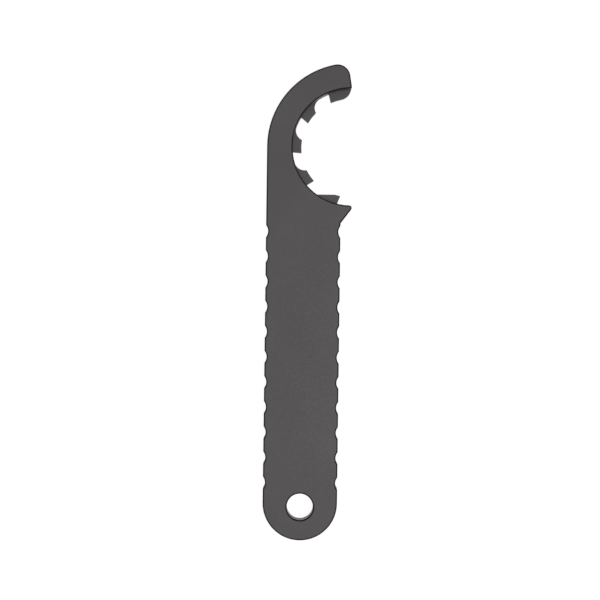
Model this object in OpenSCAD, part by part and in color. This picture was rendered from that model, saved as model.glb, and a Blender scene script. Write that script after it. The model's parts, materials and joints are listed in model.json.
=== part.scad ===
// Hook spanner for slotted ring nuts: two flat plates of one outline, screwed and pinned together.
// The front plate has a plain round seat. The toothed plate behind it has the teeth.
// X runs across the handle, Y along it towards the hook, Z out of the plain front face.
// The origin is on the jaw's axis, where the plates meet. Angles turn from +X towards +Y.

/* [Handle] */
// Width across the two long edges
handle_w = 25.5; // [20:0.5:32]
// From the jaw's axis down to the hang hole
hang_reach = 123.5; // [100:0.5:150]
// Radius of the hang hole
hang_r = 4.5; // [3:0.1:5.5]
// How far the centre of the rounded end lies above the hang hole
end_shift = 1.25; // [0:0.05:3]

/* [Hook] */
// Radius of the round seat on the front plate
seat_r = 20; // [17:0.5:24]
// Width of the hook's arm
hook_w = 8.75; // [7:0.05:11]
// From the jaw's axis to the hook's flat end, square to that end
end_reach = 3.2; // [1:0.1:4]
// How far the hook's flat end leans from the handle's direction
end_lean = 8.75; // [4:0.25:12]
// Radius of the hook's outer corner
tip_round = 4.4; // [2:0.1:5]
// Radius of the toothed plate's inner corner at the hook's end
nose_round = 4.3; // [2:0.1:5]

/* [Horn] */
// How far the horn below the jaw reaches past the jaw's axis
horn_reach = 0.5; // [-1:0.1:2]
// Radius of the horn's point
horn_round = 0.9; // [0.5:0.1:1.5]
// Slope of the horn's outer edge
horn_slope = 53; // [45:1:60]

/* [Teeth] */
// Notches in the full ring of the nut, which set the pitch
notches = 10; // [10:1:12]
// Number of teeth
teeth = 5; // [3:1:5]
// Height of the teeth inside the seat
tooth_h = 3; // [2:0.1:3.2]
// Width of a tooth at its tip, as an angle
tooth_span = 15; // [12:0.5:18]
// Angle of the first tooth's driving corner
first_corner = 114.5; // [112:0.5:118]
// Undercut of the driving flanks
flank_lean = 10.5; // [0:0.5:14]
// Radius of the hollow that relieves each tooth's other side
relief_r = 3.6; // [3.2:0.1:4]
// How far the last tooth's straight top stands above its driving corner
last_trim = 0.45; // [0.15:0.05:0.85]
// How far that straight top slopes away from the tip circle
last_slope = 11.5; // [8:0.5:16]

/* [Grip] */
// Scallops down each long edge
scallops = 11; // [5:1:13]
// Depth of a scallop
scallop_depth = 0.72; // [0.4:0.02:1]
// Radius of a scallop
scallop_r = 3.3; // [2.5:0.1:4]
// From the foot of the horn down to the first scallop
scallop_gap = 3; // [1.75:0.25:7.75]
// From the last scallop down to the hang hole
scallop_stop = 8.15; // [7:0.05:12]

/* [Plates] */
// Thickness of the front plate
front_t = 3; // [2.4:0.1:5]
// Thickness of the toothed plate
toothed_t = 2; // [1.6:0.1:4]

/* [Screws and pins] */
// Radius of the screws' thread
screw_r = 1.25; // [1:0.05:1.5]
// Radius of the screws' countersunk heads
head_r = 2.35; // [2.1:0.05:2.8]
// Height of the straight rim round a head
head_rim = 0.2; // [0.1:0.05:0.3]
// Width across the flats of the hexagon socket
socket_w = 1.5; // [1.2:0.1:1.8]
// Depth of the hexagon socket
socket_depth = 0.8; // [0.5:0.1:1]
// Screws in the handle
handle_screws = 3; // [1:1:5]
// Radius of the dowel pins
pin_r = 1.5; // [1:0.25:2]
// Metal left between the hang hole and the lower pin
pin_wall = 3.5; // [2:0.5:8]
// From the lowest point of the seat down to the upper pin
pin_drop = 6; // [5:0.5:10]
// Metal left in front of the blind holes
front_skin = 0.7; // [0.5:0.1:1]
// How far heads and pins sit below the back face
recess = 0.1; // [0:0.05:0.2]
// Gap left ahead of a screw or pin in its blind hole
tip_gap = 0.2; // [0.1:0.05:0.4]
// Gap left round every thread, head and pin
fit_gap = 0.02; // [0.01:0.01:0.05]
// Gap between a screw and its hole through the toothed plate
clear_gap = 0.15; // [0.1:0.05:0.25]

/* [Hidden] */
$fn = 96;

coat = [0.33, 0.32, 0.325];
screw_steel = [0.24, 0.24, 0.25];
pin_steel = [0.62, 0.62, 0.64];
past = 1; // how far a cut runs past what it cuts
lap = 1.001; // a round is this much larger than nominal, so that it crosses the edges it runs into

outer_r = seat_r + hook_w;
tip_r = seat_r - tooth_h;
pitch = 360 / notches;
left_x = -outer_r; // the long edge that runs on from the hook's back
right_x = left_x + handle_w;
mid_x = left_x + handle_w / 2;
horn_x = max(horn_reach, right_x + horn_round); // a wide handle carries the horn's point with its edge
relief_turn = acos(((seat_r - relief_r) ^ 2 + tip_r ^ 2 - relief_r ^ 2)
    / (2 * (seat_r - relief_r) * tip_r)); // from a tooth's relieved corner to its hollow's centre

function turn(angle) = [cos(angle), sin(angle)];

// Centre of a round that touches the hook's flat end and a circle about the jaw's axis
function end_round_centre(r, to_axis) =
    (end_reach - r) * turn(end_lean)
    + sqrt(to_axis ^ 2 - (end_reach - r) ^ 2) * turn(end_lean + 90);

end_normal = turn(end_lean);
tip_centre = end_round_centre(tip_round, outer_r - tip_round);
nose_centre = end_round_centre(nose_round, tip_r + nose_round);
horn_centre = let (x = horn_x - horn_round, r = seat_r + horn_round) [x, -sqrt(r ^ 2 - x ^ 2)];
horn_normal = turn(horn_slope - 90);
horn_start = horn_centre + horn_round * horn_normal;
horn_foot = [right_x, horn_start[1] - (horn_start[0] - right_x) * tan(horn_slope)];
scallop_top = horn_foot[1] - scallop_gap;
scallop_pitch = (scallop_top + hang_reach - scallop_stop) / (scallops - 1);

// The fixings stand in one row down the handle: a pin at each end, and the screws between them
row_low = -hang_reach + hang_r + pin_wall + pin_r;
row_high = -seat_r - pin_drop;
row_step = (row_high - row_low) / (handle_screws + 1);
pin_places = [[mid_x, row_low], [mid_x, row_high]];
// A screw also stands behind every second tooth, midway across the hook's arm
screw_places = concat(
    [for (i = [1 : handle_screws]) [mid_x, row_low + i * row_step]],
    [for (k = [0 : 2 : teeth - 1]) (seat_r + hook_w / 2) * turn(corner_angle(k) - tooth_span / 2)]);
hole_depth = front_t - front_skin;
fixing_len = toothed_t - recess + hole_depth - tip_gap;
head_cone = head_r - screw_r; // a 90 degree countersink is as deep as its step in radius

function corner_angle(k) = first_corner + k * pitch;

// What a round takes off a corner: u and v are the directions from its centre to its two edges
module corner_cut(centre, u, v, r) {
    s = r / (1 + u * v) + past; // far enough to take in the sharp corner
    difference() {
        polygon([centre, centre + s * u, centre + s * (u + v), centre + s * v]);
        translate(centre) circle(r * lap);
    }
}

// The handle's straight part and its rounded end
module handle_shape() {
    translate([left_x, -hang_reach + end_shift]) square([handle_w, hang_reach - end_shift]);
    translate([mid_x, -hang_reach + end_shift]) circle(handle_w / 2);
}

// The hook's disc, cut off at its flat end and at the handle's inner edge
module hook_shape() {
    far = 2 * outer_r;
    end_foot = [end_reach / cos(end_lean), 0];
    difference() {
        intersection() {
            circle(outer_r);
            polygon([[-far, -far], [right_x, -far], [right_x, 0], end_foot,
                end_foot + far * turn(end_lean + 90), [-far, far]]);
        }
        corner_cut(tip_centre, end_normal, tip_centre / norm(tip_centre), tip_round);
    }
}

// The horn under the jaw, with its point still sharp
module horn_shape() {
    point = horn_start + tooth_h * turn(horn_slope);
    polygon([horn_foot, point, [right_x, -seat_r / 2], [mid_x, -seat_r / 2], [mid_x, horn_foot[1]]]);
}

module scallop_row(x) {
    for (i = [0 : scallops - 1])
        translate([x, scallop_top - i * scallop_pitch]) circle(scallop_r);
}

// The outline that both plates share, with the jaw still filled in
module blank_shape() {
    difference() {
        union() {
            handle_shape();
            hook_shape();
            horn_shape();
        }
        scallop_row(left_x + scallop_depth - scallop_r);
        scallop_row(right_x - scallop_depth + scallop_r);
        translate([mid_x, -hang_reach]) circle(hang_r);
        corner_cut(horn_centre, horn_normal, -horn_centre / norm(horn_centre), horn_round);
    }
}

// The side of a tooth's driving flank that holds its metal, from the flank back by an angle
module tooth_sector(k, span) {
    corner = tip_r * turn(corner_angle(k));
    flank = turn(corner_angle(k) - flank_lean);
    polygon([corner - tip_r / 2 * flank, corner + 2 * tooth_h * flank,
        2 * seat_r * turn(corner_angle(k) - span / 2), 2 * seat_r * turn(corner_angle(k) - span), [0, 0]]);
}

// The first tooth runs on to the hook's end
module first_tooth() {
    tooth_sector(0, first_corner - end_lean);
}

module middle_tooth(k) {
    hollow = corner_angle(k) - tooth_span - relief_turn;
    difference() {
        tooth_sector(k, tooth_span + relief_turn);
        translate((seat_r - relief_r) * turn(hollow)) circle(relief_r * lap);
    }
}

// The last tooth has a straight top in place of a hollow
module last_tooth(k) {
    intersection() {
        tooth_sector(k, pitch);
        translate(tip_r * turn(corner_angle(k))) rotate(corner_angle(k) + last_slope - 90)
            translate([-2 * seat_r, -last_trim]) square([4 * seat_r, 2 * seat_r]);
    }
}

// The space inside the toothed plate's jaw
module toothed_bore() {
    difference() {
        circle(seat_r);
        difference() {
            union() {
                first_tooth();
                for (k = [1 : teeth - 2]) middle_tooth(k);
                last_tooth(teeth - 1);
            }
            circle(tip_r);
        }
    }
}

// One screw, or with a gap the countersink and hole that hold it: its head is at the bottom
module screw_body(gap, through) {
    cone_z = recess + head_rim;
    translate([0, 0, -toothed_t]) {
        translate([0, 0, gap > 0 ? -past : recess])
            cylinder(r = head_r + gap, h = gap > 0 ? cone_z + past : head_rim);
        translate([0, 0, cone_z]) cylinder(r1 = head_r + gap, r2 = screw_r + gap, h = head_cone);
        if (through) cylinder(r = screw_r + clear_gap, h = toothed_t + past);
        else translate([0, 0, recess]) cylinder(r = screw_r, h = fixing_len);
    }
}

// Blind holes for the threads and pins, from the mating face into the front plate
module blind_holes() {
    for (p = screw_places) translate([p[0], p[1], -past])
        cylinder(r = screw_r + fit_gap, h = hole_depth + past);
    for (p = pin_places) translate([p[0], p[1], -past])
        cylinder(r = pin_r + fit_gap, h = hole_depth + past);
}

module front_plate() {
    color(coat) difference() {
        linear_extrude(front_t) difference() {
            blank_shape();
            circle(seat_r);
        }
        blind_holes();
    }
}

module toothed_plate() {
    color(coat) difference() {
        translate([0, 0, -toothed_t]) linear_extrude(toothed_t) difference() {
            blank_shape();
            toothed_bore();
            corner_cut(nose_centre, end_normal, -nose_centre / norm(nose_centre), nose_round);
        }
        for (p = screw_places) translate([p[0], p[1], 0]) screw_body(fit_gap, true);
        for (p = pin_places) translate([p[0], p[1], -toothed_t - past])
            cylinder(r = pin_r + fit_gap, h = toothed_t + 2 * past);
    }
}

module plate_screws() {
    socket_r = socket_w / 2 / cos(30);
    color(screw_steel) for (p = screw_places) translate([p[0], p[1], 0]) difference() {
        screw_body(0, false);
        translate([0, 0, -toothed_t]) cylinder(r = socket_r, h = recess + socket_depth, $fn = 6);
    }
}

module dowel_pins() {
    color(pin_steel) for (p = pin_places)
        translate([p[0], p[1], -toothed_t + recess]) cylinder(r = pin_r, h = fixing_len);
}

front_plate();
toothed_plate();
plate_screws();
dowel_pins();
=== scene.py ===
import json
from math import acos, ceil, cos, degrees, pi, radians, sin, sqrt
import bmesh
import bpy
import numpy as np
from mathutils.geometry import tessellate_polygon
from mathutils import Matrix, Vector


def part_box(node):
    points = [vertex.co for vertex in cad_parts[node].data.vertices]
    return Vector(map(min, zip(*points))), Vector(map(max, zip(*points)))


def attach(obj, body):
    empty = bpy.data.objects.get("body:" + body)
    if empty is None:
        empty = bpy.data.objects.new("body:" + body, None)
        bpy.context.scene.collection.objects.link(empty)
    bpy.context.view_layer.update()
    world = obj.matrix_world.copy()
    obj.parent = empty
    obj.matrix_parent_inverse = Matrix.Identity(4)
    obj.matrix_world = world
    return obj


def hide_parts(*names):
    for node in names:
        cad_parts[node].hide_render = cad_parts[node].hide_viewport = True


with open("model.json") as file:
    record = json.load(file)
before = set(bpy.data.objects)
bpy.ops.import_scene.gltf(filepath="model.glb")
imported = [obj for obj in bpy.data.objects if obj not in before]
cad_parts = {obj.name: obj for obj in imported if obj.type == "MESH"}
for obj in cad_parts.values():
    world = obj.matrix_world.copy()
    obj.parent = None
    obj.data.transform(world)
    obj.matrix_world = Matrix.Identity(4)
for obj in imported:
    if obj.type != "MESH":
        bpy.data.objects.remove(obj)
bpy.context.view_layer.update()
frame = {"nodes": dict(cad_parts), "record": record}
print("frame loaded:", sorted(frame["nodes"]))

# All shapes are worked out in millimetres and become metres in makePiece.
mm = 0.001
white = (1, 1, 1, 1)
detail = {
    "arcStepMm": 0.7, "arcStepAngle": 9, "arcLeastSteps": 2,  # how finely an arc is cut
    "around": 96, "roundRows": 6,  # points round a hole or a turned piece, and rows across an edge's round
    "newtonSteps": 12, "mergeM": 1e-7,  # points nearer than this, in metres, are one
}
mounts = {mount["name"]: mount for mount in frame["record"]["mounts"]}
frontLow, frontHigh = (np.array(corner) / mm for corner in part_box("front_plate"))
toothedLow, toothedHigh = (np.array(corner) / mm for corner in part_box("toothed_plate"))
screwLow, screwHigh = (np.array(corner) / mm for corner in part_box("plate_screws"))
pinLow, pinHigh = (np.array(corner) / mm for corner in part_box("dowel_pins"))
hangCentre = np.array(mounts["hang_hole"]["pos_m"][:2]) / mm
hangR = mounts["hang_hole"]["dims"]["r_mm"]
seatR = mounts["jaw"]["dims"]["r_mm"]
outerR = -frontLow[0]
leftX = frontLow[0]
midX = (pinLow[0] + pinHigh[0]) / 2
rightX = 2 * midX - leftX
footR = (rightX - leftX) / 2


def turn(angle):  # the unit vector (cos, sin) of an angle in degrees
    return np.array([cos(radians(angle)), sin(radians(angle))])


# An outline is a row of straight and circular edges, walked with the metal on the left, with a round
# at each corner.
def straight(point, heading):
    return {"point": np.array(point, float), "left": turn(heading + 90)}


def ring(centre, radius, sense):  # sense 1 has its metal inside, -1 has it outside
    return {"centre": np.array(centre, float), "radius": radius, "sense": sense}


def gapAndLeft(edge, p):  # how far p lies to the left of an edge, and which way that grows
    if "left" in edge:
        return (p - edge["point"]) @ edge["left"], edge["left"]
    out = p - edge["centre"]
    reach = np.linalg.norm(out)
    return edge["sense"] * (edge["radius"] - reach), -edge["sense"] * out / reach


def roundCentre(a, b, near, radius):  # Newton's steps to the point that lies radius to the left of both
    centre = np.array(near, float)
    for _ in range(detail["newtonSteps"]):
        (gapA, leftA), (gapB, leftB) = gapAndLeft(a, centre), gapAndLeft(b, centre)
        centre = centre - np.linalg.solve([leftA, leftB], [gapA - radius, gapB - radius])
    return centre


def footOn(edge, p):  # the point of an edge nearest to p: p - gap * left
    gap, left = gapAndLeft(edge, p)
    return p - gap * left


def arc(centre, radius, sense, start, end):
    # point = centre + radius * (cos t, sin t), t going evenly from start to end; normals point off the metal
    first, last = (np.arctan2(*(p - centre)[::-1]) for p in (start, end))
    sweep = (sense * (last - first)) % (2 * pi)
    byLength = ceil(sweep * radius / detail["arcStepMm"])
    byAngle = ceil(degrees(sweep) / detail["arcStepAngle"])
    count = max(byLength, byAngle, detail["arcLeastSteps"])
    t = first + sense * sweep * np.linspace(0, 1, count + 1)
    out = np.stack([np.cos(t), np.sin(t)], 1)
    return centre + radius * out, sense * out


def outline(steps):
    # Each step is an edge, a point near the corner that ends it, and that corner's radius:
    # above 0 at an outside corner, below 0 at an inside one, 0 where the next edge runs on smoothly.
    corners = []
    for (a, near, radius), (b, _, _) in zip(steps, steps[1:] + steps[:1]):
        centre = roundCentre(a, b, near, radius) if radius else np.array(near, float)
        corners.append((centre, footOn(a, centre), footOn(b, centre)))
    made = []
    for k, (edge, _, radius) in enumerate(steps):
        centre, end, nextStart = corners[k]
        if "centre" in edge:
            along, normals = arc(edge["centre"], edge["radius"], edge["sense"], corners[k - 1][2], end)
            made.append((along[1:-1], normals[1:-1]))
        if radius:
            made.append(arc(centre, abs(radius), np.sign(radius), end, nextStart))
        else:
            made.append((centre[None], -gapAndLeft(edge, centre)[1][None]))
    return tuple(np.concatenate(part) for part in zip(*made))


def holeOutline(centre, radius, count=detail["around"]):
    # point = centre + radius * (cos t, sin t), once round clockwise; normals point off the metal, inwards
    t = -np.linspace(0, 2 * pi, count, endpoint=False)
    out = np.stack([np.cos(t), np.sin(t)], 1)
    return centre + radius * out, -out


plate = {
    "endReach": 3.2, "endLean": 8.75, "tipRound": 4.4, "noseRound": 4.3,  # the hook's flat end
    "hornReach": 0.5, "hornRound": 0.9, "hornSlope": 53, "hornFoot": 0.5,
    "scallops": 11, "scallopDepth": 0.72, "scallopR": 3.3, "scallopGap": 3, "scallopStop": 8.15,
    "teeth": 5, "pitch": 36, "toothHeight": 3, "toothSpan": 15, "firstCorner": 114.5,
    "flankLean": 10.5, "reliefR": 3.6, "lastTrim": 0.45, "lastSlope": 11.5,
    "corner": 0.55, "toothCorner": 0.2,  # radii of the cut corners
    "frontRound": 0.54, "backRound": 0.2, "seamBreak": 0.07,  # how far each edge is rounded over
    "sharpAngle": 40,
}
tipR = seatR - plate["toothHeight"]
hornX = plate["hornReach"] - plate["hornRound"]
hornCentre = np.array([hornX, -sqrt((seatR + plate["hornRound"]) ** 2 - hornX ** 2)])
hornStart = hornCentre + plate["hornRound"] * turn(plate["hornSlope"] - 90)
hornFoot = hornStart - turn(plate["hornSlope"]) * (hornStart[0] - rightX) / cos(radians(plate["hornSlope"]))
topRow, lastRow = hornFoot[1] - plate["scallopGap"], hangCentre[1] + plate["scallopStop"]
scallopRows = np.linspace(topRow, lastRow, plate["scallops"])
halfScallop = sqrt(plate["scallopR"] ** 2 - (plate["scallopR"] - plate["scallopDepth"]) ** 2)
footY = frontLow[1] + footR


def scallopSteps(x, heading, rows, centreX):
    # Down or up one long edge: the straight edge, then a scallop, over and over
    side = 1 if heading == 90 else -1
    edge = straight([x, 0], heading)
    steps = []
    for y in rows:
        scallop = ring([centreX, y], plate["scallopR"], -1)
        steps.append((edge, [x, y - side * halfScallop], plate["corner"]))
        steps.append((scallop, [x, y + side * halfScallop], plate["corner"]))
    return steps, edge


def cornerAngle(k):  # where a driving flank meets the tip circle, in degrees from +X
    return plate["firstCorner"] + k * plate["pitch"]


def toothSteps(k):
    # One tooth, walked from its driving flank's root over its tip to the seat behind it
    corner = cornerAngle(k)
    seat = ring([0, 0], seatR, -1)
    tip = ring([0, 0], tipR, -1)
    inner = plate["toothCorner"]
    drive = tipR * turn(corner)
    flank = straight(drive, corner - plate["flankLean"] + 180)
    root = drive + plate["toothHeight"] * turn(corner - plate["flankLean"])
    steps = [(seat, root, -inner), (flank, drive, inner)]
    if k == 0:
        return steps + [(tip, noseNear, plate["noseRound"])]
    if k == plate["teeth"] - 1:  # this tooth has a straight top in place of a hollow
        square = corner + plate["lastSlope"]
        height = tipR * cos(radians(plate["lastSlope"])) - plate["lastTrim"]
        top = straight(height * turn(square), square - 90)
        topStart, topEnd = (r * turn(square - degrees(acos(height / r))) for r in (tipR, seatR))
        return steps + [(tip, topStart, inner), (top, topEnd, -inner)]
    reliefReach = seatR - plate["reliefR"]
    # The law of cosines, in the triangle of the jaw's centre, the hollow's centre and the tooth's back corner
    cosine = (reliefReach ** 2 + tipR ** 2 - plate["reliefR"] ** 2) / (2 * reliefReach * tipR)
    reliefTurn = degrees(acos(cosine))
    back = corner - plate["toothSpan"]
    hollow = ring(reliefReach * turn(back - reliefTurn), plate["reliefR"], -1)
    return steps + [(tip, tipR * turn(back), inner), (hollow, seatR * turn(back - reliefTurn), 0)]


endEdge = straight(plate["endReach"] * turn(plate["endLean"]), plate["endLean"] + 90)
# Where the hook's flat end meets the outer, seat and tip circles
tipNear, seatEndNear, noseNear = (
    r * turn(plate["endLean"] + degrees(acos(plate["endReach"] / r))) for r in (outerR, seatR, tipR))


def plateOutline(jawSteps):
    # Round the foot, up the right edge and the horn, along the jaw, over the hook and down the left edge
    outside = plate["scallopR"] - plate["scallopDepth"]  # how far beyond the edge a scallop's centre lies
    rightSteps, rightEdge = scallopSteps(rightX, 90, scallopRows[::-1], rightX + outside)
    leftSteps, leftEdge = scallopSteps(leftX, 270, scallopRows, leftX - outside)
    steps = [(ring([midX, footY], footR, 1), [rightX, footY], 0)]
    steps += rightSteps + [(rightEdge, hornFoot, -plate["hornFoot"])]
    steps += [(straight(hornFoot, plate["hornSlope"]), seatR * turn(-90), plate["hornRound"])]
    steps += jawSteps
    steps += [(endEdge, tipNear, plate["tipRound"]), (ring([0, 0], outerR, 1), [leftX, 0], 0)]
    return outline(steps + leftSteps + [(leftEdge, [leftX, footY], 0)])


def edgeProfile(high, low, highRound, lowRound):
    # A wall with both edges rounded over: r * (1 - sin t) in from the outline, r * (1 - cos t) off the face
    t = np.radians(np.linspace(0, 90, detail["roundRows"]))
    over = np.stack([1 - np.sin(t), 1 - np.cos(t)], 1)
    return np.concatenate([[0, high] + highRound * over * [1, -1], ([0, low] + lowRound * over)[::-1]])


def carried(shape, profile):
    # A profile carried round an outline: point = outline - inset * normal, at the profile's height
    points, normals = shape
    flat = points[:, None] - profile[None, :, :1] * normals[:, None]
    heights = np.broadcast_to(profile[:, 1], flat.shape[:2])
    return np.concatenate([flat, heights[..., None]], 2)


def makePiece(name, sheets, sharpAngle, high=(), low=()):
    # sheets are grids of points, closed round their first direction; high and low are the sheets whose
    # first or last rings are joined by a flat face with holes
    sizes = [sheet.shape[0] * sheet.shape[1] for sheet in sheets]
    starts = np.concatenate([[0], np.cumsum(sizes)[:-1]])
    ids = [start + np.arange(size).reshape(sheet.shape[:2])
           for start, size, sheet in zip(starts, sizes, sheets)]
    verts = np.concatenate([sheet.reshape(-1, 3) for sheet in sheets])
    faces = []
    for grid in ids:
        after = np.roll(grid, -1, 0)
        quads = np.stack([grid[:, :-1], grid[:, 1:], after[:, 1:], after[:, :-1]], -1)
        faces += quads.reshape(-1, 4).tolist()
    for chosen, column, facing in ((high, 0, 1), (low, -1, -1)):
        rings = [ids[k][:, column] for k in chosen]
        if not rings:
            continue
        tris = np.concatenate(rings)[np.array(tessellate_polygon([verts[r].tolist() for r in rings]))]
        a, b, c = (verts[tris[:, k], :2] for k in range(3))
        area = (b - a)[:, 0] * (c - a)[:, 1] - (b - a)[:, 1] * (c - a)[:, 0]
        tris[area * facing < 0] = tris[area * facing < 0][:, ::-1]
        faces += tris.tolist()
    mesh = bpy.data.meshes.new(name)
    mesh.from_pydata((verts * mm).tolist(), [], faces)
    work = bmesh.new()
    work.from_mesh(mesh)
    bmesh.ops.remove_doubles(work, verts=work.verts, dist=detail["mergeM"])  # closes the poles
    work.to_mesh(mesh)
    work.free()
    mesh.polygons.foreach_set("use_smooth", np.ones(len(mesh.polygons), bool))
    mesh.set_sharp_from_angle(angle=radians(sharpAngle))
    piece = bpy.data.objects.new(name, mesh)
    bpy.context.scene.collection.objects.link(piece)
    weighted = piece.modifiers.new("faceWeights", "WEIGHTED_NORMAL")  # keeps the flat faces flat to the light
    weighted.keep_sharp = True
    return piece


def finishPiece(piece, material, node):
    piece.data.materials.append(material)
    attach(piece, "root")
    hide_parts(node)


def perMetre(sizeMm):  # a pattern's scale: how many features of this size lie in a metre
    return 1 / (sizeMm * mm)


def linear(hexColour):  # sRGB to linear: c / 12.92 when dark, else ((c + 0.055) / 1.055) ^ 2.4
    srgb = np.array([int(hexColour[k:k + 2], 16) for k in (1, 3, 5)]) / 255
    return (*np.where(srgb <= 0.04045, srgb / 12.92, ((srgb + 0.055) / 1.055) ** 2.4), 1)


def addNode(tree, kind, inputs=None, **settings):
    node = tree.nodes.new(kind)
    for name, value in settings.items():
        setattr(node, name, value)
    for name, value in (inputs or {}).items():
        if isinstance(value, bpy.types.NodeSocket):
            tree.links.new(value, node.inputs[name])
        else:
            node.inputs[name].default_value = value
    return node


def newMaterial(name):
    material = bpy.data.materials.new(name)
    material.use_nodes = True
    material.node_tree.nodes.clear()
    return material, material.node_tree


# Satin polyester powder on sheet steel, sprayed dry and baked: it melts to a faint orange peel with a fine
# fleck, reads soft and even face on, and mirrors at a low angle; its rounded edges and walls get painted
# shade.
coat = {
    # edge is the near-black colour of the painted shade on the rims and walls
    "deep": "#555152", "pale": "#605c5d", "edge": "#080809",
    "cloudMm": 30, "cloudDetail": 2,
    "fleckMm": 0.9, "fleckDetail": 3,  # the powder's own 0.05 mm fleck is too fine to show, so it is coarser
    "fleckShare": 0.4, "noiseLow": 0.3, "noiseHigh": 0.7,
    "peelMm": 1.6, "peelDetail": 1, "peelDepthMm": 0.012,
    "roughLow": 0.34, "roughHigh": 0.48, "gloss": 0.2, "ior": 1.5,
    "flatNormal": 0.9995, "edgeNormal": 0.975,  # how upright a face is where the painted edge shade starts, is full
    "wallNormal": 0.35, "wallShadeShare": 0.5,  # a wall gets only half as much painted shade as a rim
    "frontEdge": 1.0, "toothedEdge": 0.6,  # how far each plate's rims go towards the painted edge shade
}


def powderCoat(name, edgeShadeShare):
    material, tree = newMaterial(name)
    place = addNode(tree, "ShaderNodeTexCoord")
    cloud = addNode(tree, "ShaderNodeTexNoise", {
        "Vector": place.outputs["Object"], "Scale": perMetre(coat["cloudMm"]), "Detail": coat["cloudDetail"]})
    fleck = addNode(tree, "ShaderNodeTexNoise", {
        "Vector": place.outputs["Object"], "Scale": perMetre(coat["fleckMm"]), "Detail": coat["fleckDetail"]})
    peel = addNode(tree, "ShaderNodeTexNoise", {
        "Vector": place.outputs["Object"], "Scale": perMetre(coat["peelMm"]), "Detail": coat["peelDetail"]})
    blendIn = addNode(tree, "ShaderNodeMix", {
        0: coat["fleckShare"], 2: cloud.outputs["Fac"], 3: fleck.outputs["Fac"]})
    spread = addNode(tree, "ShaderNodeMapRange", {
        "Value": blendIn.outputs[0], "From Min": coat["noiseLow"], "From Max": coat["noiseHigh"]})
    tone = addNode(tree, "ShaderNodeMix", {
        0: spread.outputs[0], 6: linear(coat["deep"]), 7: linear(coat["pale"])}, data_type="RGBA")
    # Painted shade: the near-black edge colour is mixed in where the normal leans from upright, full on the
    # rounded rims and half on the walls
    axes = addNode(tree, "ShaderNodeSeparateXYZ", {0: place.outputs["Normal"]})
    upright = addNode(tree, "ShaderNodeMath", {0: axes.outputs["Z"]}, operation="ABSOLUTE")
    edge = addNode(tree, "ShaderNodeMapRange", {
        "Value": upright.outputs[0], "From Min": coat["flatNormal"], "From Max": coat["edgeNormal"],
        "To Max": edgeShadeShare})
    wallShade = addNode(tree, "ShaderNodeMapRange", {
        "Value": upright.outputs[0], "From Min": coat["wallNormal"], "From Max": 0,
        "To Min": 1, "To Max": coat["wallShadeShare"]})
    paintedShade = addNode(tree, "ShaderNodeMath", {0: edge.outputs[0], 1: wallShade.outputs[0]}, operation="MULTIPLY")
    colour = addNode(tree, "ShaderNodeMix", {
        0: paintedShade.outputs[0], 6: tone.outputs[2], 7: linear(coat["edge"])}, data_type="RGBA")
    rough = addNode(tree, "ShaderNodeMapRange", {
        "Value": fleck.outputs["Fac"], "From Min": coat["noiseLow"], "From Max": coat["noiseHigh"],
        "To Min": coat["roughLow"], "To Max": coat["roughHigh"]})
    bump = addNode(tree, "ShaderNodeBump", {
        "Height": peel.outputs["Fac"], "Strength": 1, "Distance": coat["peelDepthMm"] * mm})
    surface = addNode(tree, "ShaderNodeBsdfPrincipled", {
        "Base Color": colour.outputs[2], "Roughness": rough.outputs[0], "Normal": bump.outputs[0],
        "IOR": coat["ior"], "Specular IOR Level": coat["gloss"]})
    addNode(tree, "ShaderNodeOutputMaterial", {"Surface": surface.outputs[0]})
    return material


# Alloy steel turned on a lathe and blackened in hot oxide: near black with a blue cast, an oily sheen,
# faint turning rings, and grey steel showing where a key has rubbed.
oxide = {
    "base": "#2b2b2e", "rubbed": "#6c6c6e",
    "patchMm": 1.1, "patchDetail": 4, "wornLow": 0.55, "wornHigh": 0.75, "wornMost": 0.5,
    "ringMm": 0.35, "ringDepthMm": 0.004, "ringWaver": 0.4,  # real rings, 0.05 mm apart, are too fine to show
    "roughLow": 0.28, "roughHigh": 0.48,
}
waveRepeat = 2 * pi / 20  # a wave texture of scale 1 repeats every 2 pi / 20 m


def blackOxide(name, centre):
    material, tree = newMaterial(name)
    place = addNode(tree, "ShaderNodeTexCoord")
    axis = addNode(tree, "ShaderNodeMapping", {  # puts the rings round this screw
        "Vector": place.outputs["Object"], "Location": (-centre[0] * mm, -centre[1] * mm, 0)})
    rings = addNode(tree, "ShaderNodeTexWave", {
        "Vector": axis.outputs[0], "Scale": waveRepeat * perMetre(oxide["ringMm"]),
        "Distortion": oxide["ringWaver"]}, wave_type="RINGS", rings_direction="Z")
    patch = addNode(tree, "ShaderNodeTexNoise", {
        "Vector": place.outputs["Object"], "Scale": perMetre(oxide["patchMm"]),
        "Detail": oxide["patchDetail"]})
    worn = addNode(tree, "ShaderNodeMapRange", {
        "Value": patch.outputs["Fac"], "From Min": oxide["wornLow"], "From Max": oxide["wornHigh"],
        "To Max": oxide["wornMost"]})
    colour = addNode(tree, "ShaderNodeMix", {
        0: worn.outputs[0], 6: linear(oxide["base"]), 7: linear(oxide["rubbed"])}, data_type="RGBA")
    rough = addNode(tree, "ShaderNodeMapRange", {
        "Value": patch.outputs["Fac"], "To Min": oxide["roughLow"], "To Max": oxide["roughHigh"]})
    bump = addNode(tree, "ShaderNodeBump", {
        "Height": rings.outputs["Fac"], "Strength": 1, "Distance": oxide["ringDepthMm"] * mm})
    surface = addNode(tree, "ShaderNodeBsdfPrincipled", {
        "Base Color": colour.outputs[2], "Metallic": 1.0, "Roughness": rough.outputs[0],
        "Normal": bump.outputs[0]})
    addNode(tree, "ShaderNodeOutputMaterial", {"Surface": surface.outputs[0]})
    return material


# Hardened steel ground between centres: bright and cool, with fine marks running round it.
ground = {
    "pale": "#b9babd", "deep": "#8f9094", "roughLow": 0.18, "roughHigh": 0.34,
    "markMm": 0.15, "markDetail": 3,
    "markStretch": 0.15,  # the pattern's scale across the pin, so that the marks draw out and run round it
}


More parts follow.
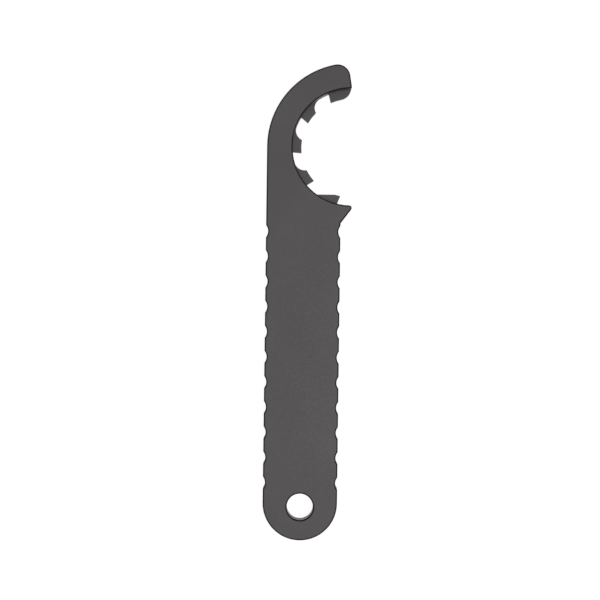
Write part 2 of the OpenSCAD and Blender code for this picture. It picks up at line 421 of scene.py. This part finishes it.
def groundSteel(name):
    material, tree = newMaterial(name)
    place = addNode(tree, "ShaderNodeTexCoord")
    across = ground["markStretch"]
    drawnOut = addNode(tree, "ShaderNodeMapping", {
        "Vector": place.outputs["Object"], "Scale": (across, across, 1)})
    marks = addNode(tree, "ShaderNodeTexNoise", {
        "Vector": drawnOut.outputs[0], "Scale": perMetre(ground["markMm"]), "Detail": ground["markDetail"]})
    colour = addNode(tree, "ShaderNodeMix", {
        0: marks.outputs["Fac"], 6: linear(ground["deep"]), 7: linear(ground["pale"])}, data_type="RGBA")
    rough = addNode(tree, "ShaderNodeMapRange", {
        "Value": marks.outputs["Fac"], "To Min": ground["roughLow"], "To Max": ground["roughHigh"]})
    surface = addNode(tree, "ShaderNodeBsdfPrincipled", {
        "Base Color": colour.outputs[2], "Metallic": 1.0, "Roughness": rough.outputs[0]})
    addNode(tree, "ShaderNodeOutputMaterial", {"Surface": surface.outputs[0]})
    return material


screw = {
    "r": 1.25, "headR": 2.35, "rim": 0.2, "cone": 1.1, "chamfer": 0.05, "tipChamfer": 0.2,
    "socketW": 1.5, "socketDepth": 0.8, "drillPoint": 0.25,
    "mouthR": 1.0, "mouthDepth": 0.22, "mouthBreak": 0.06, "breakDepth": 0.02,
    "pitch": 0.45, "thread": 0.2, "threadRows": 40, "shank": 0.25, "runOut": 0.3,
    "handleCount": 3, "toothStep": 2,  # three in the handle, and one behind every second tooth
    "fit": 0.02, "clear": 0.15, "seed": 7, "sharpAngle": 30,
}
pin = {
    "r": (pinHigh[0] - pinLow[0]) / 2, "fit": 0.02, "flat": 0.25, "dome": 0.06, "domeRings": 6,
    "leadIn": 0.05, "leadDepth": 0.15, "leadLength": 0.3,  # the end's chamfer is in two steps
    "sharpAngle": 50,
}
holes = {"blindSpare": 0.2, "backBreak": 0.05, "blindAround": 48}
blindTop = screwHigh[2] + holes["blindSpare"]
pinPlaces = [np.array([midX, pinLow[1] + pin["r"]]), np.array([midX, pinHigh[1] - pin["r"]])]
rowPlaces = np.linspace(*pinPlaces, screw["handleCount"] + 2)[1:-1]
armPlaces = [(seatR + outerR) / 2 * turn(cornerAngle(k) - plate["toothSpan"] / 2)
             for k in range(0, plate["teeth"], screw["toothStep"])]
screwPlaces = [*rowPlaces, *armPlaces]

frontShape = plateOutline([(ring([0, 0], seatR, -1), seatEndNear, plate["corner"])])
hangShape = holeOutline(hangCentre, hangR)
frontEdge = edgeProfile(frontHigh[2], frontLow[2], plate["frontRound"], plate["seamBreak"])
frontSheets = [carried(frontShape, frontEdge), carried(hangShape, frontEdge)]
for places, radius in ((screwPlaces, screw["r"] + screw["fit"]), (pinPlaces, pin["r"] + pin["fit"])):
    blind = np.array([[-radius, blindTop], [0, blindTop], [0, frontLow[2]]])
    frontSheets += [carried(holeOutline(place, radius, holes["blindAround"]), blind) for place in places]
everySheet = range(len(frontSheets))
frontPlate = makePiece("frontPlate", frontSheets, plate["sharpAngle"], high=(0, 1), low=everySheet)
frontCoat = powderCoat("satinPowderCoatFront", coat["frontEdge"])
finishPiece(frontPlate, frontCoat, "front_plate")
print("front plate:", len(frontPlate.data.polygons), "faces")

jawSteps = [step for k in reversed(range(plate["teeth"])) for step in toothSteps(k)]
toothedShape = plateOutline(jawSteps)
toothedEdge = edgeProfile(toothedHigh[2], toothedLow[2], plate["seamBreak"], plate["backRound"])
toothedSheets = [carried(toothedShape, toothedEdge), carried(hangShape, toothedEdge)]
# How much wider than its hole the head's seat is
headInset = screw["headR"] + screw["fit"] - screw["r"] - screw["clear"]
coneTop = screwLow[2] + screw["rim"] + headInset
breakWidth, back = holes["backBreak"], toothedLow[2]
countersink = np.array([[0, toothedHigh[2]], [0, coneTop], [headInset, screwLow[2] + screw["rim"]],
                        [headInset, back + breakWidth], [headInset + breakWidth, back]])
clearR = screw["r"] + screw["clear"]
toothedSheets += [carried(holeOutline(place, clearR), countersink) for place in screwPlaces]
pinHole = np.array([[0, toothedHigh[2]], [0, back + breakWidth], [breakWidth, back]])
toothedSheets += [carried(holeOutline(place, pin["r"] + pin["fit"]), pinHole) for place in pinPlaces]
everySheet = range(len(toothedSheets))
toothedPlate = makePiece("toothedPlate", toothedSheets, plate["sharpAngle"], high=everySheet, low=everySheet)
toothedCoat = powderCoat("satinPowderCoatToothed", coat["toothedEdge"])
finishPiece(toothedPlate, toothedCoat, "toothed_plate")
print("toothed plate:", len(toothedPlate.data.polygons), "faces")


onceRound = np.linspace(0, 2 * pi, detail["around"], endpoint=False)[:, None]
sixth = pi / 3  # a hexagon looks the same after a sixth of a turn


def turned(centre, radii, heights):
    # point = centre + radii[t, ring] * (cos t, sin t), at that ring's height
    x = centre[0] + radii * np.cos(onceRound)
    y = centre[1] + radii * np.sin(onceRound)
    return np.stack(np.broadcast_arrays(x, y, heights), 2)


def screwSheet(centre, spin):
    # A turned shape in rings from the tip, over the thread, cone, rim and face, and down into the socket
    low, high = screwLow[2], screwHigh[2]
    coneHigh = low + screw["rim"] + screw["cone"]
    shankHigh = coneHigh + screw["shank"]
    rows = np.linspace(high - screw["tipChamfer"], shankHigh, screw["threadRows"])
    halfSocket = screw["socketW"] / 2
    bottom = low + screw["socketDepth"]
    radii = np.concatenate([
        [0, screw["r"] - screw["tipChamfer"]], np.full(len(rows), screw["r"]), [screw["r"]],
        [screw["headR"], screw["headR"], screw["headR"] - screw["chamfer"]],
        [screw["mouthR"] + screw["mouthBreak"], screw["mouthR"], halfSocket, halfSocket, 0]])
    heights = np.concatenate([
        [high, high], rows, [coneHigh],
        [low + screw["rim"], low + screw["chamfer"], low],
        [low, low + screw["breakDepth"], low + screw["mouthDepth"], bottom, bottom + screw["drillPoint"]]])
    threaded = slice(2, 2 + len(rows))  # the rings after the tip's middle and its chamfer
    hexagon = slice(-3, -1)  # the socket's rings, before the drill point
    # The thread is a triangle wave that climbs one pitch a turn, and fades out towards the shank:
    # r less depth * |2 * frac(z / pitch - turn) - 1|
    wave = np.abs(2 * ((rows / screw["pitch"] - onceRound / (2 * pi)) % 1) - 1)
    fade = np.clip((rows - shankHigh) / screw["runOut"], 0, 1)
    radii = np.tile(radii, (len(onceRound), 1))
    radii[:, threaded] -= screw["thread"] * wave * fade
    # The hexagon's radius is half its width over the cosine of the angle from the nearest flat's middle
    radii[:, hexagon] /= np.cos(onceRound % sixth - sixth / 2)
    sheet = turned(np.zeros(2), radii, heights)
    c, s = cos(spin), sin(spin)
    flat = sheet[..., :2] @ np.array([[c, s], [-s, c]]) + centre
    return np.concatenate([flat, sheet[..., 2:]], 2)


# Each screw has stopped where it was tight
spins = np.random.default_rng(screw["seed"]).uniform(0, sixth, len(screwPlaces))
for k, (place, spin) in enumerate(zip(screwPlaces, spins), 1):
    piece = makePiece(f"plateScrew{k}", [screwSheet(place, spin)], screw["sharpAngle"])
    finishPiece(piece, blackOxide(f"blackOxideSteel{k}", place), "plate_screws")
print("screws:", len(screwPlaces))

# From the top's middle: a dome that drops by dome * (reach / flat radius) ^ 2, a chamfer, the wall, and
# the same below
domeReach = np.linspace(0, pin["r"] - pin["flat"], pin["domeRings"])
dome = pin["dome"] * (domeReach / domeReach[-1]) ** 2
endReach = np.concatenate([domeReach, [pin["r"] - pin["leadIn"], pin["r"]]])
endDrop = np.concatenate([dome, [pin["leadDepth"], pin["leadLength"]]])
pinRadii = np.concatenate([endReach, endReach[::-1]])[None]
pinHeights = np.concatenate([pinHigh[2] - endDrop, (pinLow[2] + endDrop)[::-1]])
pinSteel = groundSteel("groundDowelSteel")
for k, place in enumerate(pinPlaces, 1):
    piece = makePiece(f"dowelPin{k}", [turned(place, pinRadii, pinHeights)], pin["sharpAngle"])
    finishPiece(piece, pinSteel, "dowel_pins")
print("pins:", len(pinPlaces))

stage = {
    "floorSize": 16, "floorDropMm": 0.02,  # the size in metres, and how far under the back it lies
    "floorColour": "#808080", "floorRough": 0.9, "floorGloss": 0.2, "floorGlow": 0.9, "worldGlow": 0.35,
}
floorMesh = bpy.data.meshes.new("floor")
half = stage["floorSize"] / 2
level = (toothedLow[2] - stage["floorDropMm"]) * mm
corners = [(-half, -half, level), (half, -half, level), (half, half, level), (-half, half, level)]
floorMesh.from_pydata(corners, [], [(0, 1, 2, 3)])
floor = bpy.data.objects.new("floor", floorMesh)
bpy.context.scene.collection.objects.link(floor)
floorMaterial, tree = newMaterial("matteFloor")
sides = addNode(tree, "ShaderNodeNewGeometry")
paint = addNode(tree, "ShaderNodeBsdfPrincipled", {
    "Base Color": linear(stage["floorColour"]), "Roughness": stage["floorRough"],
    "Specular IOR Level": stage["floorGloss"],
    "Emission Color": white, "Emission Strength": stage["floorGlow"]})
clear = addNode(tree, "ShaderNodeBsdfTransparent")
oneSided = addNode(tree, "ShaderNodeMixShader", {  # clear from below, so that the back can be seen
    0: sides.outputs["Backfacing"], 1: paint.outputs[0], 2: clear.outputs[0]})
addNode(tree, "ShaderNodeOutputMaterial", {"Surface": oneSided.outputs[0]})
floorMesh.materials.append(floorMaterial)
floor.visible_shadow = False

world = bpy.data.worlds.new("studio")
world.use_nodes = True
background = world.node_tree.nodes["Background"]
background.inputs["Strength"].default_value = stage["worldGlow"]
background.inputs["Color"].default_value = white
bpy.context.scene.world = world

lights = {  # place in metres, size, power in watts, point aimed at
    "topBox": ((0.14, -0.13, 0.95), 0.5, 3.4, (0, -0.07, 0)),
    "underBox": ((-0.02, -0.05, -0.7), 1.2, 2.6, (-0.01, -0.05, 0)),
}
for name, (place, size, power, aim) in lights.items():
    lamp = bpy.data.lights.new(name, "AREA")
    lamp.size = size
    lamp.energy = power
    box = bpy.data.objects.new(name, lamp)
    box.location = place
    box.rotation_euler = (Vector(aim) - Vector(place)).to_track_quat("-Z", "Y").to_euler()
    bpy.context.scene.collection.objects.link(box)

view = {
    "aboveFaceMm": 435, "overMm": (-16.81, -52.64), "roll": 0.733,
    "lens": 76.27, "sensor": 36, "nearest": 0.01,  # in mm, mm and metres
}
camera = bpy.data.objects.new("camera", bpy.data.cameras.new("camera"))
camera.data.lens = view["lens"]
camera.data.sensor_width = view["sensor"]
camera.data.clip_start = view["nearest"]
cameraMm = (*view["overMm"], frontHigh[2] + view["aboveFaceMm"])
camera.location = [value * mm for value in cameraMm]
camera.rotation_euler = (0, 0, radians(view["roll"]))
bpy.context.scene.collection.objects.link(camera)
bpy.context.scene.camera = camera
bpy.context.scene.view_settings.view_transform = "Standard"
print("stage, light and camera set")
